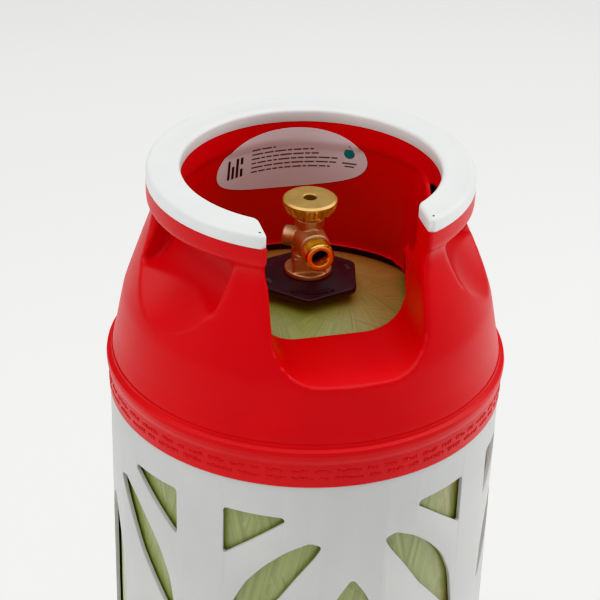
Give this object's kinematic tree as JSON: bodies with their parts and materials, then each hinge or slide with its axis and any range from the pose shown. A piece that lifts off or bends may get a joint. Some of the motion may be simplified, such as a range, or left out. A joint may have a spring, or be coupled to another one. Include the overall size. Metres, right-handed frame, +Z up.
{
  "type": "composite gas cylinder",
  "caption": "Composite propane cylinder with a wound fibre vessel, a windowed casing, a carrying collar with a grip ring and a brass handwheel valve.",
  "frame": {"origin": "middle of the base, on the floor", "axes": "+Z up along the cylinder, the collar's open front and the valve outlet face -Y"},
  "size_m": [0.305, 0.305, 0.587],
  "materials": {
    "grey_hdpe": "moulded polyethylene, satin, light grey",
    "red_hdpe": "moulded polyethylene, satin, red",
    "white_polymer": "soft-touch moulded polymer, white",
    "natural_hdpe": "blow-moulded polyethylene, natural",
    "glass_fibre": "wound glass fibre in clear resin",
    "black_nylon": "glass-filled nylon, black",
    "label_film": "printed vinyl film",
    "black_rubber": "nitrile rubber",
    "aluminium": "turned",
    "cast_brass": "sand-cast and shot-blasted",
    "turned_brass": "turned or pressed, bright",
    "spring_steel": "drawn wire"
  },
  "bodies": {
    "tank": {"lower_casing": "grey_hdpe", "base_pad": "black_rubber", "upper_casing": "red_hdpe", "grip_ring": "white_polymer", "composite_shell": "glass_fibre", "liner": "natural_hdpe", "neck_boss": "aluminium", "boss_seal": "black_rubber", "neck_plate": "black_nylon", "neck_gasket": "black_rubber", "label": "label_film", "valve_body": "cast_brass", "gland_nut": "turned_brass", "gland_seal": "black_rubber", "relief_cap": "turned_brass", "relief_spring": "spring_steel"},
    "handwheel": {"handwheel": "turned_brass", "handwheel_nut": "turned_brass", "upper_spindle": "turned_brass", "slip_washer": "white_polymer"},
    "plug": {"lower_spindle": "turned_brass", "seat_pad": "black_rubber"},
    "relief": {"relief_piston": "turned_brass", "relief_pad": "black_rubber"}
  },
  "joints": [
    {"name": "handwheel_turn", "type": "hinge", "parent": "tank", "child": "handwheel", "pos_m": [0, 0, 0.55], "axis": [0, 0, 1], "range_deg": [0, 720]},
    {"name": "plug_lift", "type": "slide", "parent": "handwheel", "child": "plug", "axis": [0, 0, 1], "range_m": [0, 0.002]},
    {"name": "relief_lift", "type": "slide", "parent": "tank", "child": "relief", "axis": [-0.866, 0.5, 0], "range_m": [0, 0.0012], "stiffness_N_per_m": 2000, "deforming": ["relief_spring"]}
  ],
  "couplings": [
    {"joint": "plug_lift", "follows": "handwheel_turn", "m_per_rad": 0.00015915}
  ]
}
